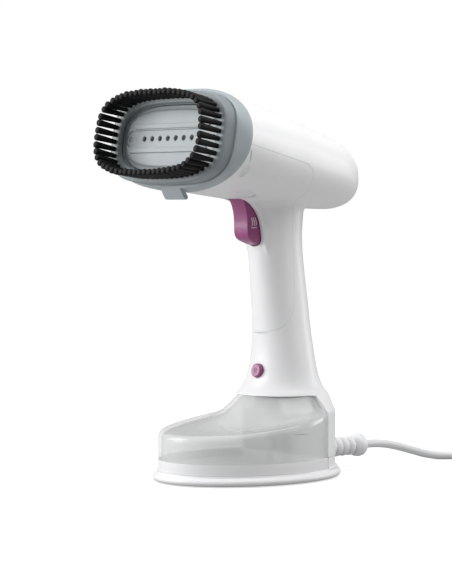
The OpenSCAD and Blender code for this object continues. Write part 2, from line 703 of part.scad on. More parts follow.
module strain_relief() color(white) difference() {
    union() {
        translate([0, wall_b - 6, relief_z]) rotate([-90, 0, 0]) cylinder(r = 5.9, h = 8, $fn = fine);
        translate([0, wall_b - 5.6, relief_z]) rotate([-90, 0, 0]) cylinder(r = 7.4, h = 1.8, $fn = fine);
        translate([0, wall_b + 1.5, relief_z]) rotate([-90, 0, 0]) cylinder(r1 = 5.6, r2 = 5.2, h = 35, $fn = fine);
        for (i = [0:4]) relief_rib(wall_b + 2 + 6.4 * i, 7, 5.4);
        translate([0, relief_end - 10, relief_z]) rotate([-90, 0, 0]) {
            cylinder(r1 = 6.2, r2 = 7.6, h = 4, $fn = fine);
            translate([0, 0, 4]) cylinder(r = 7.6, h = 3, $fn = fine);
            translate([0, 0, 7]) cylinder(r1 = 7.6, r2 = 5, h = 3, $fn = fine);
        }
    }
    translate([0, wall_b - 10, relief_z]) rotate([-90, 0, 0]) cylinder(d = cord_d, h = 80, $fn = fine);
}

module mains_cord() color(white) sweep(smooth(CORD, 2), cord_d / 2, 10);

module cord_coil() color(white)
    translate([coil_x, coil_y, 0]) rotate_extrude($fn = 64)
        translate([coil_mid - coil_band, 0]) square([2 * coil_band, coil_h]);

module cord_tail() color(white) sweep(smooth(TAIL, 2), cord_d / 2, 10);

module in_plug() translate(plug_at) rotate([0, 0, plug_turn]) children();

module plug_body() color(white) in_plug() {
    rotate([0, 90, 0]) cylinder(r1 = 3.6, r2 = 5, h = 12, $fn = fine);
    translate([11.9, 0, 0]) rotate([0, 90, 0]) cylinder(r1 = 7, r2 = 9, h = 8, $fn = fine);
    difference() {
        translate([19.8, 0, 0]) rotate([0, 90, 0])
            linear_extrude(18) polygon(oval_points(8.6, 17.6, 3, 48));
        for (y = [-9.5, 9.5]) translate([30, y, 0]) rotate([0, 90, 0]) cylinder(r = 2.4, h = 12, $fn = fine);
    }
}

module plug_pins() color(steel) in_plug()
    for (y = [-9.5, 9.5]) translate([30.2, y, 0]) rotate([0, 90, 0]) {
        cylinder(r = 2.35, h = 24.6, $fn = fine);
        translate([0, 0, 24.6]) cylinder(r1 = 2.35, r2 = 1.5, h = 1.4, $fn = fine);
    }

// ---------- Assembly ----------

base_foot();
base_plate();
rubber_pad();
plate_screws();
spine_screws();
rear_shell();
front_shell();
trigger();
trigger_pin();
trigger_spring();
switch_bracket();
steam_switch();
power_button();
button_spring();
control_board();
front_bezel();
soleplate();
sole_gasket();
boiler();
heating_element();
thermostat();
thermal_fuse();
boiler_screws();
brush_frame();
bristle_tufts();
tank_shell();
tank_floor();
fill_cap();
tank_valve();
pickup_tube();
valve_socket();
valve_seal();
water_pump();
pump_bracket();
suction_hose();
delivery_hose();
inner_leads();
cord_clamp();
clamp_screws();
strain_relief();
mains_cord();
cord_coil();
cord_tail();
plug_body();
plug_pins();
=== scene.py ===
"""Looks of the garment steamer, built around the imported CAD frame. Lengths in tables are in millimetres."""

import json
import math
import random

import bmesh
import bpy
import numpy as np
from mathutils import Matrix, Vector


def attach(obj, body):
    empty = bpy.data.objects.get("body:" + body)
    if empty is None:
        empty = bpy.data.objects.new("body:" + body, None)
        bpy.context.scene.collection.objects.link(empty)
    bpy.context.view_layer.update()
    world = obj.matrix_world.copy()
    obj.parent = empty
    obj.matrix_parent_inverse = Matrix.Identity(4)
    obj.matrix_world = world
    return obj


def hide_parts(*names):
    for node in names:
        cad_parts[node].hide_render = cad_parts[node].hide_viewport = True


MM = 0.001
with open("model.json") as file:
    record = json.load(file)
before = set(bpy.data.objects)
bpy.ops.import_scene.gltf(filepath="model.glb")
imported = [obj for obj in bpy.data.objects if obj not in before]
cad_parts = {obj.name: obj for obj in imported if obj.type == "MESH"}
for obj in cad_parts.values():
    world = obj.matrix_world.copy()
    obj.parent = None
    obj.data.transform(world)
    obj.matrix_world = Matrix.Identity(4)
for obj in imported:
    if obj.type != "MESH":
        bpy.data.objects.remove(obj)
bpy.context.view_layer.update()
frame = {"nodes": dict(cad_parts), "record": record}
SCENE = bpy.context.scene


# ---------- Camera ----------

def add_camera():
    data = bpy.data.cameras.new("camera")
    data.lens = 141.23
    data.sensor_width = 36.0
    data.clip_end = 20.0
    camera = bpy.data.objects.new("camera", data)
    camera.location = (1.17528, -1.05958, 0.18804)
    camera.rotation_euler = (math.radians(87.850), 0.0, math.radians(48.5))
    SCENE.collection.objects.link(camera)
    SCENE.camera = camera


add_camera()


# ---------- Mesh helpers ----------

def catmull(points, steps):
    """Points on a smooth curve through points, steps to each stretch."""
    p = np.array(points, dtype=float)
    out = []
    for i in range(len(p) - 1):
        a, b, c, d = p[max(i - 1, 0)], p[i], p[i + 1], p[min(i + 2, len(p) - 1)]
        for s in range(steps):
            u = s / steps
            out.append(0.5 * (2 * b + (c - a) * u + (2 * a - 5 * b + 4 * c - d) * u ** 2
                              + (3 * b - a - 3 * c + d) * u ** 3))
    out.append(p[-1])
    return np.array(out)


def ease(u):
    u = min(max(u, 0.0), 1.0)
    return u * u * (3 - 2 * u)


def oval(a, b, n, count):
    """Rounded oval of half sizes a and b; n = 2 is an ellipse and more is squarer."""
    t = np.arange(count) * 2 * math.pi / count
    c, s = np.cos(t), np.sin(t)
    return np.stack([a * np.sign(c) * np.abs(c) ** (2 / n), b * np.sign(s) * np.abs(s) ** (2 / n)], 1)


def even_oval(a, b, n, count, start=0.0):
    """The same oval with its points evenly spaced along it."""
    fine = oval(a, b, n, 4000)
    closed = np.vstack([fine, fine[:1]])
    along = np.concatenate([[0], np.cumsum(np.linalg.norm(np.diff(closed, axis=0), axis=1))])
    want = (np.arange(count) + start) / count * along[-1]
    return np.stack([np.interp(want, along, closed[:, k]) for k in (0, 1)], 1)


def flat(outline, z):
    """Outline laid level at height z."""
    return np.column_stack([outline, np.full(len(outline), z)])


def link(name, mesh):
    obj = bpy.data.objects.new(name, mesh)
    SCENE.collection.objects.link(obj)
    return obj


def mesh_object(name, verts, faces, smooth=True):
    """Object from points in millimetres."""
    mesh = bpy.data.meshes.new(name)
    mesh.from_pydata([tuple(v) for v in np.asarray(verts) * MM], [], faces)
    mesh.validate()
    mesh.update()
    obj = link(name, mesh)
    if smooth:
        shade(obj)
    return obj


def shade(obj, angle=32):
    obj.data.polygons.foreach_set("use_smooth", [True] * len(obj.data.polygons))
    obj.data.set_sharp_from_angle(angle=math.radians(angle))


def loft(name, rings, wrap=False, smooth=True):
    """Closed skin through rings of equal point counts, capped at its ends or, with wrap, joined up."""
    n, m = len(rings[0]), len(rings)
    faces = []
    for i in range(m if wrap else m - 1):
        k = (i + 1) % m
        for j in range(n):
            j2 = (j + 1) % n
            faces.append((i * n + j, i * n + j2, k * n + j2, k * n + j))
    if not wrap:
        faces.append(tuple(range(n - 1, -1, -1)))
        faces.append(tuple((m - 1) * n + j for j in range(n)))
    obj = mesh_object(name, np.concatenate(rings), faces, smooth=False)
    outward(obj)
    if smooth:
        shade(obj)
    return obj


def outward(obj):
    bm = bmesh.new()
    bm.from_mesh(obj.data)
    bmesh.ops.recalc_face_normals(bm, faces=bm.faces)
    bm.to_mesh(obj.data)
    bm.free()


def lathe(name, profile, count=48, wrap=False):
    """Profile of (radius, height) pairs turned about Z."""
    t = np.arange(count) * 2 * math.pi / count
    rings = [np.stack([r * np.cos(t), r * np.sin(t), np.full(count, z)], 1) for r, z in profile]
    return loft(name, rings, wrap=wrap)


def prism(name, outline, low, high, axis="z"):
    """Outline of 2-D points pushed from low to high along axis; along x the outline is (y, z)."""
    rings = []
    for level in (low, high):
        col = np.full(len(outline), float(level))
        o = np.array(outline, dtype=float)
        rings.append({"z": np.stack([o[:, 0], o[:, 1], col], 1),
                      "x": np.stack([col, o[:, 0], o[:, 1]], 1),
                      "y": np.stack([o[:, 0], col, o[:, 1]], 1)}[axis])
    return loft(name, rings, smooth=False)


def block(name, low, high):
    outline = [(low[0], low[1]), (high[0], low[1]), (high[0], high[1]), (low[0], high[1])]
    return prism(name, outline, low[2], high[2])


def bake(obj):
    """Applies obj's modifiers."""
    graph = bpy.context.evaluated_depsgraph_get()
    graph.update()
    mesh = bpy.data.meshes.new_from_object(obj.evaluated_get(graph))
    old = obj.data
    obj.modifiers.clear()
    obj.data = mesh
    mesh.name = obj.name
    bpy.data.meshes.remove(old)


def remove(obj):
    mesh = obj.data
    bpy.data.objects.remove(obj)
    bpy.data.meshes.remove(mesh)


def combine(obj, tool, operation):
    """Adds tool to obj or cuts obj with it, and uses tool up."""
    m = obj.modifiers.new("combine", "BOOLEAN")
    m.operation, m.solver, m.object = operation, "MANIFOLD", tool
    bake(obj)
    remove(tool)


def cut(obj, *tools):
    for tool in tools:
        combine(obj, tool, "DIFFERENCE")


def copy_of(obj, name):
    new = obj.copy()
    new.data = obj.data.copy()
    new.name = new.data.name = name
    SCENE.collection.objects.link(new)
    return new


def joined(name, objs):
    """One object holding the meshes of all objs."""
    bm = bmesh.new()
    for o in objs:
        o.data.transform(o.matrix_world)
        bm.from_mesh(o.data)
    mesh = bpy.data.meshes.new(name)
    bm.to_mesh(mesh)
    bm.free()
    for o in objs:
        remove(o)
    return link(name, mesh)


def remesh(obj, voxel, smoothing):
    m = obj.modifiers.new("voxels", "REMESH")
    m.mode, m.voxel_size = "VOXEL", voxel * MM
    s = obj.modifiers.new("smooth", "SMOOTH")
    s.factor, s.iterations = 0.5, smoothing
    bake(obj)


def place(obj, matrix):
    obj.data.transform(matrix)


def weld(obj, gap=0.003):
    """Closes the smallest edges that booleans leave and drops everything but the largest connected part."""
    bm = bmesh.new()
    bm.from_mesh(obj.data)
    bmesh.ops.remove_doubles(bm, verts=bm.verts, dist=gap * MM)
    bmesh.ops.dissolve_degenerate(bm, edges=bm.edges, dist=gap * MM)
    bmesh.ops.triangulate(bm, faces=[f for f in bm.faces if len(f.verts) > 3])
    seen, largest = set(), []
    for face in bm.faces:
        if face in seen:
            continue
        part, queue = [], [face]
        seen.add(face)
        while queue:
            f = queue.pop()
            part.append(f)
            for edge in f.edges:
                for other in edge.link_faces:
                    if other not in seen:
                        seen.add(other)
                        queue.append(other)
        if len(part) > len(largest):
            largest = part
    keep = set(largest)
    bmesh.ops.delete(bm, geom=[f for f in bm.faces if f not in keep], context="FACES")
    bm.to_mesh(obj.data)
    bm.free()


# ---------- Steam face: its centre and its tilt back ----------

FACE_Y, FACE_Z, FACE_TILT = 73.2, 234.3, 10.0


# ---------- Materials ----------

def node(tree, kind, **inputs):
    new = tree.nodes.new(kind)
    for key, value in inputs.items():
        new.inputs[key.replace("_", " ")].default_value = value
    return new


ROUGH_SPREAD = 0.06
# Painted shade on the brush frame's front ring: where it starts and how dark it is painted
RING_STEP = 0.1037
RING_PAINTED_SHADE = 0.63


def material(name, color, rough, grain, bump, metallic=0.0, spread=0.03, coat=0.0, transmission=0.0, ior=1.46,
             scratch=0.0, alpha=1.0, ring=False):
    """Moulded, cast or drawn surface: slow drift in colour, fine grain in roughness and bump; with ring,
    painted shade on the brush's front ring.
    """
    mat = bpy.data.materials.new(name)
    mat.use_nodes = True
    tree = mat.node_tree
    tree.nodes.clear()
    out = tree.nodes.new("ShaderNodeOutputMaterial")
    bsdf = tree.nodes.new("ShaderNodeBsdfPrincipled")
    tree.links.new(bsdf.outputs[0], out.inputs[0])
    for key, value in (("Metallic", metallic), ("IOR", ior), ("Coat Weight", coat), ("Coat Roughness", 0.12),
                       ("Transmission Weight", transmission), ("Alpha", alpha)):
        bsdf.inputs[key].default_value = value
    where = tree.nodes.new("ShaderNodeTexCoord")
    slow = node(tree, "ShaderNodeTexNoise", Scale=22.0, Detail=4.0, Roughness=0.55)
    fine = node(tree, "ShaderNodeTexNoise", Scale=grain, Detail=3.0, Roughness=0.6)
    for tex in (slow, fine):
        tree.links.new(where.outputs["Object"], tex.inputs["Vector"])
    tint = tree.nodes.new("ShaderNodeValToRGB")
    low = [max(0.0, c * (1 - spread)) for c in color]
    high = [min(1.0, c * (1 + spread)) for c in color]
    tint.color_ramp.elements[0].position = 0.3
    tint.color_ramp.elements[1].position = 0.7
    tint.color_ramp.elements[0].color = (*low, 1)
    tint.color_ramp.elements[1].color = (*high, 1)
    tree.links.new(slow.outputs["Fac"], tint.inputs["Fac"])
    tree.links.new(tint.outputs["Color"], bsdf.inputs["Base Color"])
    if ring:
        # Painted shade: beyond its step at RING_STEP metres along the steam direction, the brush's front ring
        # is painted darker, standing in for the shade that falls on its side wall
        depth = tree.nodes.new("ShaderNodeVectorMath")
        depth.operation = "DOT_PRODUCT"
        tilt = math.radians(FACE_TILT)
        depth.inputs[1].default_value = (0, -math.cos(tilt), math.sin(tilt))
        step = node(tree, "ShaderNodeMapRange", From_Min=RING_STEP - 0.0001, From_Max=RING_STEP + 0.0001)
        painted_shade = tree.nodes.new("ShaderNodeMix")
        painted_shade.data_type, painted_shade.blend_type = "RGBA", "MULTIPLY"
        painted_shade.inputs["B"].default_value = (RING_PAINTED_SHADE, RING_PAINTED_SHADE, RING_PAINTED_SHADE, 1)
        tree.links.new(where.outputs["Object"], depth.inputs[0])
        tree.links.new(depth.outputs["Value"], step.inputs["Value"])
        tree.links.new(step.outputs["Result"], painted_shade.inputs["Factor"])
        tree.links.new(tint.outputs["Color"], painted_shade.inputs["A"])
        tree.links.new(painted_shade.outputs["Result"], bsdf.inputs["Base Color"])
    gloss = node(tree, "ShaderNodeMapRange", From_Min=0.3, From_Max=0.7,
                 To_Min=max(0.02, rough - ROUGH_SPREAD), To_Max=min(1.0, rough + ROUGH_SPREAD))
    tree.links.new(fine.outputs["Fac"], gloss.inputs["Value"])
    tree.links.new(gloss.outputs["Result"], bsdf.inputs["Roughness"])
    height = fine.outputs["Fac"]
    if scratch:
        stretch = tree.nodes.new("ShaderNodeMapping")
        stretch.inputs["Scale"].default_value = (1.0, 1.0, 0.04)
        lines = node(tree, "ShaderNodeTexNoise", Scale=scratch, Detail=2.0)
        tree.links.new(where.outputs["Object"], stretch.inputs["Vector"])
        tree.links.new(stretch.outputs["Vector"], lines.inputs["Vector"])
        height = lines.outputs["Fac"]
    relief = node(tree, "ShaderNodeBump", Strength=bump, Distance=0.0002)
    tree.links.new(height, relief.inputs["Height"])
    tree.links.new(relief.outputs["Normal"], bsdf.inputs["Normal"])
    return mat


# Slot: colour, roughness, grain of the bump, strength of the bump, other settings
LOOKS = {
    "white_plastic": ((0.83, 0.83, 0.84), 0.40, 2400, 0.05, {"spread": 0.012, "coat": 0.08}),
    # ring: painted shade darkens the frame's front ring, standing in for the shade on its side wall
    "grey_plastic": ((0.36, 0.40, 0.42), 0.42, 2600, 0.12, {"ring": True}),
    "bezel_plastic": ((0.42, 0.46, 0.48), 0.40, 2400, 0.10, {"spread": 0.02}),
    "sole_coating": ((0.39, 0.425, 0.44), 0.50, 3200, 0.10, {}),
    "purple_plastic": ((0.29, 0.052, 0.185), 0.36, 1800, 0.04, {"spread": 0.05, "coat": 0.35}),
    "frosted_plastic": ((0.85, 0.855, 0.855), 0.20, 1500, 0.03,
                        {"spread": 0.004, "coat": 1.0, "alpha": 0.43}),
    "bristle": ((0.004, 0.004, 0.004), 0.62, 1500, 0.25, {"spread": 0.25, "ior": 1.3, "scratch": 3800}),
    "black_plastic": ((0.015, 0.015, 0.016), 0.45, 2000, 0.12, {"spread": 0.2}),
    "screw_steel": ((0.62, 0.63, 0.65), 0.28, 1200, 0.05, {"metallic": 1.0}),
    "spring_steel": ((0.55, 0.56, 0.58), 0.30, 1800, 0.05, {"metallic": 1.0}),
    "cast_aluminium": ((0.62, 0.63, 0.64), 0.52, 900, 0.35, {"metallic": 1.0}),
    "pump_metal": ((0.58, 0.59, 0.61), 0.32, 1400, 0.06, {"metallic": 1.0, "scratch": 1500}),
    "board": ((0.02, 0.10, 0.035), 0.40, 700, 0.10, {"spread": 0.25}),
    "rubber": ((0.035, 0.035, 0.037), 0.72, 1500, 0.3, {"spread": 0.15}),
    "silicone": ((0.75, 0.76, 0.78), 0.35, 900, 0.05, {"transmission": 0.35}),
    "lead_sheath": ((0.02, 0.02, 0.02), 0.6, 2500, 0.4, {"scratch": 2500}),
    "cord_sheath": ((0.74, 0.74, 0.75), 0.36, 1600, 0.08, {"spread": 0.015}),
    "pin_metal": ((0.66, 0.66, 0.67), 0.16, 1400, 0.03, {"metallic": 1.0}),
}
MATERIALS = {slot: material(slot, *look, **more) for slot, (*look, more) in LOOKS.items()}
ICON = material("print_white", (0.85, 0.85, 0.86), 0.5, 1500, 0.05)
DARK = material("print_grey", (0.30, 0.31, 0.32), 0.5, 1500, 0.05)


def paint(obj, slot):
    obj.data.materials.clear()
    obj.data.materials.append(MATERIALS[slot])


def piece(obj, body, slot, *replaced):
    """obj is finished: its material, the body that it rides on and the CAD nodes that it stands for."""
    paint(obj, slot)
    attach(obj, body)
    if replaced:
        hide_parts(*replaced)
    return obj


def printed(obj, body, mat):
    """Small raised mark on a piece of that slot, in its own colour."""
    obj.data.materials.append(mat)
    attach(obj, body)


# ---------- Cord ----------

# From the strain relief down to the table and into the coil
RUN = [(0, 112, 15.4), (0, 124, 15.2), (0, 136, 14), (1, 148, 11.5), (3, 160, 8.2), (6, 171, 5),
       (10, 181, 3.3), (15, 189, 3.1), (22, 193.6, 3.3), (30, 196.6, 3.7), (39, 198, 4.1), (49, 197.8, 4.1)]
COIL_X, COIL_Y = 60.0, 238.0
COIL_RADII = (41.0, 34.9, 28.8)
COIL_LEVELS = (4.1, 10.2, 16.3)
TURN_POINTS = 36
TAIL_RADIUS, TAIL_Z, TAIL_BEND, TAIL_LIFT = 35.0, 22.5, 27.0, 6.0
CORD_D = 6.0
PLUG_AT = (45.1, 262.2, 28.5)
PLUG_TURN = 228.0


def on_coil(r, degrees, z):
    turn = math.radians(degrees)
    return (COIL_X + r * math.cos(turn), COIL_Y + r * math.sin(turn), z)


def coil_points():
    """Nine turns in three layers: each turn steps sideways at 150 to 210 degrees or up at 210 to 270."""
    turns = []
    for layer, z in enumerate(COIL_LEVELS):
        radii = COIL_RADII if layer % 2 == 0 else COIL_RADII[::-1]
        turns += [(r, z) for r in radii]
    points = []
    for i, (r, z) in enumerate(turns):
        r2, z2 = turns[i + 1] if i + 1 < len(turns) else (r, z)
        for k in range(TURN_POINTS):
            d = -90 + 360 * k / TURN_POINTS
            sideways, up = ease((d - 150) / 60), ease((d - 210) / 60)
            points.append(on_coil(r + (r2 - r) * sideways, d, z + (z2 - z) * up))
    return points


def tail_points():
    """From the top of the coil, over it and up into the plug."""
    points = []
    for d in range(-90, 50, 10):
        up = 6.2 * ease((d + 90) / 80)
        points.append(on_coil(COIL_RADII[-1] + up, d, COIL_LEVELS[-1] + up))
    x, y, z = on_coil(TAIL_RADIUS, 50, TAIL_Z)
    start = math.radians(140)
    for k in range(9):
        h = math.radians(140 + 88 * k / 8)
        points.append((x + TAIL_BEND * (math.sin(h) - math.sin(start)),
                       y + TAIL_BEND * (math.cos(start) - math.cos(h)), z + TAIL_LIFT * ease(k / 8)))
    return points


def tube(name, path, radius, sides=14):
    """Round tube along path, without twist."""
    path = np.array(path, dtype=float)
    ahead = np.gradient(path, axis=0)
    ahead /= np.linalg.norm(ahead, axis=1)[:, None]
    side = np.cross(ahead[0], [0, 0, 1])
    side /= np.linalg.norm(side)
    t = np.arange(sides) * 2 * math.pi / sides
    rings = []
    for centre, forward in zip(path, ahead):
        side = side - forward * side.dot(forward)
        side /= np.linalg.norm(side)
        up = np.cross(side, forward)
        rings.append(centre + radius * (np.cos(t)[:, None] * side + np.sin(t)[:, None] * up))
    return loft(name, rings)


def add_lead():
    path = np.vstack([catmull(RUN, 3), coil_points(), tail_points()])
    lead = tube("mains_lead", path, CORD_D / 2)
    length = float(np.linalg.norm(np.diff(path, axis=0), axis=1).sum()) * MM
    return lead, path * MM, length


LEAD, LEAD_PATH, LEAD_LENGTH = add_lead()


# ---------- Frame of the steam head ----------

HEAD = (Matrix.Translation(Vector((0, -FACE_Y, FACE_Z)) * MM)
        @ Matrix.Rotation(math.radians(90 - FACE_TILT), 4, "X"))
MOUTH = -22.2


def head_outline(a, b, n, up, z, count=160):
    """Level outline in head axes: X across, Y up the face, Z out of it."""
    return flat(even_oval(a, b, n, count) + [0, up], z)


# ---------- Housings ----------

# Handle: height, centre along Y, half width and half depth
HANDLE = [(50, 32.5, 32.5, 33), (57, 32.5, 31, 31.5), (62, 33, 27.6, 28), (68, 33.3, 25.2, 25),
          (76, 33.3, 23.5, 22.6), (88, 33, 21.6, 21.1), (102, 32, 19.6, 20.5), (124, 30, 17.8, 20.4),
          (145, 27.4, 17.2, 20), (165, 25.4, 17.6, 19.6), (186, 25.4, 19.4, 20), (205, 26, 21, 21)]
# Barrel: Y, height of its centre, half width and half height
BARREL = [(-66, 234.6, 63, 35.1), (-50, 232, 60.4, 34.8), (-30, 228.6, 56.4, 34), (-5, 224, 51, 32.3),
          (20, 219.5, 46, 30.3), (45, 215, 40.5, 28), (62, 212, 36.5, 26), (73, 209.6, 32.5, 23.8),
          (81, 207.6, 27, 20), (86, 206.2, 20.5, 14.8), (88.5, 205.4, 11, 8)]
BARREL_TURN = 7
HANDLE_N, BARREL_N, BARREL_FRONT_N = 2.2, 2.25, 2.08
# Joint between the two housings, seen from the side
SEAM = [(-90, 236), (5, 218.2), (12, 216.4), (17.5, 213.5), (20.8, 209), (22, 203), (24, 192), (25.2, 182),
        (27.3, 150), (28.2, 130), (27.6, 121), (25.6, 113.5), (22, 107.6), (17, 103.4), (11, 100.8),
        (4, 99.4), (-90, 99)]
SEAM_HALF_GAP = 0.08
WALL_A, WALL_B = 52.2, 68.0
SPINE_Y, SPINE_Z, BAND_Z, NECK_Z, FOOT_H = 34.5, 46.0, 15.0, 57.0, 7.5
NECK_A, NECK_B, NECK_Y = 31.0, 31.5, 32.5
RELIEF_Z, RELIEF_END = 15.4, 112.0
VALVE_Z = 24.0
PIN_Y, PIN_Z = 6.0, 199.0
SHELL_WALL = 2.4


def rear_outline(a, b, y0, count=80):
    """Oval of half sizes a and b without what is in front of y0."""
    start = math.asin(y0 / b)
    t = start + (math.pi - 2 * start) * np.arange(count + 1) / count
    return np.stack([a * np.cos(t), b * np.sin(t)], 1)


def handle_skin(inset):
    return loft("handle", [flat(oval(half_x - inset, half_y - inset, HANDLE_N, 96) + [0, yc], z)
                           for z, yc, half_x, half_y in catmull(HANDLE, 5)])


def barrel_skin(inset):
    rows = catmull(BARREL[:BARREL_TURN + 1], 5)
    rows = np.vstack([rows, catmull(BARREL[BARREL_TURN:], 4)[1:]])
    rows[-1][0] -= inset
    rings = []
    for y, zc, hw, hh in rows:
        n = np.interp(y, (-45, 0), (BARREL_FRONT_N, BARREL_N))
        o = oval(max(hw - inset, 1), max(hh - inset, 1), n, 120)
        rings.append(np.column_stack([o[:, 0], np.full(120, y), o[:, 1] + zc]))
    return loft("barrel", rings)


def spine_skin(inset):
    """Hull from the wall round the foot up to the back of the neck."""
    bm = bmesh.new()
    a, b = WALL_A - inset, WALL_B - inset
    neck = even_oval(NECK_A - inset, NECK_B - inset, HANDLE_N, 160) + [0, NECK_Y]
    levels = [(rear_outline(a, b, SPINE_Y - 4), 3.0), (rear_outline(a, b, SPINE_Y - 4), SPINE_Z),
              (neck[neck[:, 1] > SPINE_Y - 4], NECK_Z + 1 - inset)]
    for outline, z in levels:
        for x, y in outline:
            bm.verts.new((x * MM, y * MM, z * MM))
    bmesh.ops.convex_hull(bm, input=list(bm.verts))
    mesh = bpy.data.meshes.new("spine")
    bm.to_mesh(mesh)
    bm.free()
    return link("spine", mesh)


def level_of(section_table, along, across, n):
    """About 1 on a lofted surface, less inside it and more outside."""
    rows = np.array(section_table, dtype=float)
    centre = np.interp(along, rows[:, 0], rows[:, 1])
    half_x = np.interp(along, rows[:, 0], rows[:, 2])
    half_y = np.interp(along, rows[:, 0], rows[:, 3])
    return ((np.abs(across[0]) / half_x) ** n + (np.abs(across[1] - centre) / half_y) ** n) ** (1 / n)


def soften_junction(obj):
    """Rounds the inner corner where the handle runs into the barrel."""
    co = np.empty(len(obj.data.vertices) * 3)
    obj.data.vertices.foreach_get("co", co)
    x, y, z = (co.reshape(-1, 3) / MM).T
    on_handle = level_of(HANDLE, z, (x, y), HANDLE_N)
    on_barrel = level_of(BARREL, y, (x, z), BARREL_N)
    weight = np.exp(-((on_handle - 1) ** 2 / 0.05 + (on_barrel - 1) ** 2 / 0.02)) * (z > 150)
    group = obj.vertex_groups.new(name="junction")
    for step in range(1, 11):
        group.add(np.nonzero((weight > (step - 0.5) / 10) & (weight <= (step + 0.5) / 10))[0].tolist(),
                  step / 10, "REPLACE")
    m = obj.modifiers.new("junction", "SMOOTH")
    m.factor, m.iterations, m.vertex_group = 0.5, 220, "junction"
    bake(obj)
    obj.vertex_groups.clear()


def throat():
    """Cheeks beside the trigger, where the handle runs forward into the barrel."""
    front = [(-13.4, 194.2), (-13.4, 193.2), (-8.8, 191.6), (-5.2, 189.6), (-1.6, 186.2), (1.2, 182.7),
             (3.5, 178), (4.9, 172.6), (6.0, 166.4), (7.2, 161), (9.0, 155.5), (11.2, 150), (14, 145)]
    return prism("throat", front + [(18, 145), (18, 200), (-13.4, 200)], -10.8, 10.8, axis="x")


def housing(inset, voxel, smoothing):
    parts = [handle_skin(inset), barrel_skin(inset), spine_skin(inset)]
    body = joined("housing", parts if inset else parts + [throat()])
    remesh(body, voxel, smoothing)
    return body


def seam_prism(grow):
    """Side view of the joint between the two housings, moved out by grow."""
    outline = catmull(SEAM, 6)
    step = np.gradient(outline, axis=0)
    normal = np.stack([step[:, 1], -step[:, 0]], 1)
    normal /= np.linalg.norm(normal, axis=1)[:, None]
    return prism("seam", outline - normal * grow, -90, 90, axis="x")


def ahead_of_mouth():
    tool = block("ahead", (-95, -75, MOUTH - 0.3), (95, 85, 130))
    place(tool, HEAD)
    return tool


def rod(name, start, end, r, count=40):
    """Round bar between two points."""
    start, end = Vector(start), Vector(end)
    bar = lathe(name, [(r, 0), (r, (end - start).length)], count)
    turn = Vector((0, 0, 1)).rotation_difference(end - start).to_matrix().to_4x4()
    place(bar, Matrix.Translation(start * MM) @ turn)
    return bar


BUTTON = (Matrix.Translation(Vector((0, 10.4, 73.6)) * MM) @ Matrix.Rotation(math.radians(90 - 10.6), 4, "X"))
SLOT_HALF = 7.7


def tongue(grow):
    """Front outline of the trigger: straight sides and a rounded lower end."""
    half = [(7, 200), (7, 168.5), (6.8, 166.2), (6.2, 164.2), (5.0, 162.4), (3.0, 161.1), (0, 160.6)]
    right = []
    for x, z in half:
        down = (grow if z < 170 else 0) * (1 - x / 7) + (0 if z < 199 else -grow)
        right.append((x + grow * min(1, x / 3), z - down))
    return right + [(-x, z) for x, z in right[-2::-1]]


def scoop(centre, along, outward_way, sizes):
    """Ellipsoid with half sizes along, across and into a surface."""
    t = np.linspace(-math.pi / 2, math.pi / 2, 17)[1:-1]
    ball = lathe("scoop", [(math.cos(a) * 10, math.sin(a) * 10) for a in t], 40)
    out = Vector(outward_way).normalized()
    long = Vector(along) - out * out.dot(Vector(along))
    long.normalize()
    turn = Matrix((long, out.cross(long), out)).transposed().to_4x4()
    stretch = Matrix.Diagonal((*[v / 10 for v in sizes], 1))
    place(ball, Matrix.Translation(Vector(centre) * MM) @ turn @ stretch)
    return ball


def below(y, z):
    """Everything ahead of y and below z."""
    return block("below", (-80, -110, -10), (80, y, z))


def behind(y):
    """Everything behind y."""
    return block("behind", (-80, y, 0), (80, 90, 80))


def cord_hole():
    return rod("cord_hole", (0, WALL_B - 8, RELIEF_Z), (0, WALL_B + 6, RELIEF_Z), 6)


def add_housings():
    outer = housing(0, 0.8, 8)
    soften_junction(outer)
    cut(outer, below(SPINE_Y, NECK_Z), below(110, BAND_Z + 0.12), ahead_of_mouth())
    hollow = housing(SHELL_WALL, 1.8, 4)
    cut(hollow, below(SPINE_Y + SHELL_WALL, NECK_Z + SHELL_WALL))
    cut(outer, hollow)
    for s in (-1, 1):
        # Finger hollow and catch slot behind the brush, and the hollow ahead of the trigger
        for centre, along, outward_way, sizes in (
                ((s * 49.2, -46.6, 210.8), (s * 9.5, -2.5, 8.4), (s * 0.62, 0, -0.78), (6.6, 3.3, 2.4)),
                ((s * 57.5, -48.6, 220.8), (s * 3.5, -2.5, 7.6), (s * 0.87, 0, -0.5), (5.6, 0.8, 1.7)),
                ((s * 21.8, -24, 195.5), (-s * 3, 25, -3), (s * 0.27, 0, -0.96), (13, 6.4, 1.9))):
            cut(outer, scoop(centre, along, outward_way, sizes))
    front = copy_of(outer, "front_housing")
    combine(front, seam_prism(-SEAM_HALF_GAP), "INTERSECT")
    cut(outer, seam_prism(SEAM_HALF_GAP))
    slot = prism("slot", tongue(SLOT_HALF - 7), -16, 16, axis="y")
    cut(slot, block("slot_top", (-20, -20, 196.6), (20, 20, 230)))
    cut(front, slot)
    button_hole = lathe("button_hole", [(5.05, -8), (5.05, 8)], 48)
    place(button_hole, BUTTON)
    valve_hole = rod("valve_hole", (0, SPINE_Y - 2, VALVE_Z), (0, SPINE_Y + 5, VALVE_Z), 8)
    cut(outer, button_hole, valve_hole, cord_hole())
    for half in (outer, front):
        weld(half)
        shade(half)
    outer.name = "rear_housing"
    piece(outer, "base", "white_plastic", "rear_shell")
    piece(front, "base", "white_plastic", "front_shell")


add_housings()


# ---------- Foot ----------

FOOT_A, FOOT_B = 56.0, 72.0
COVE_R = 3.0


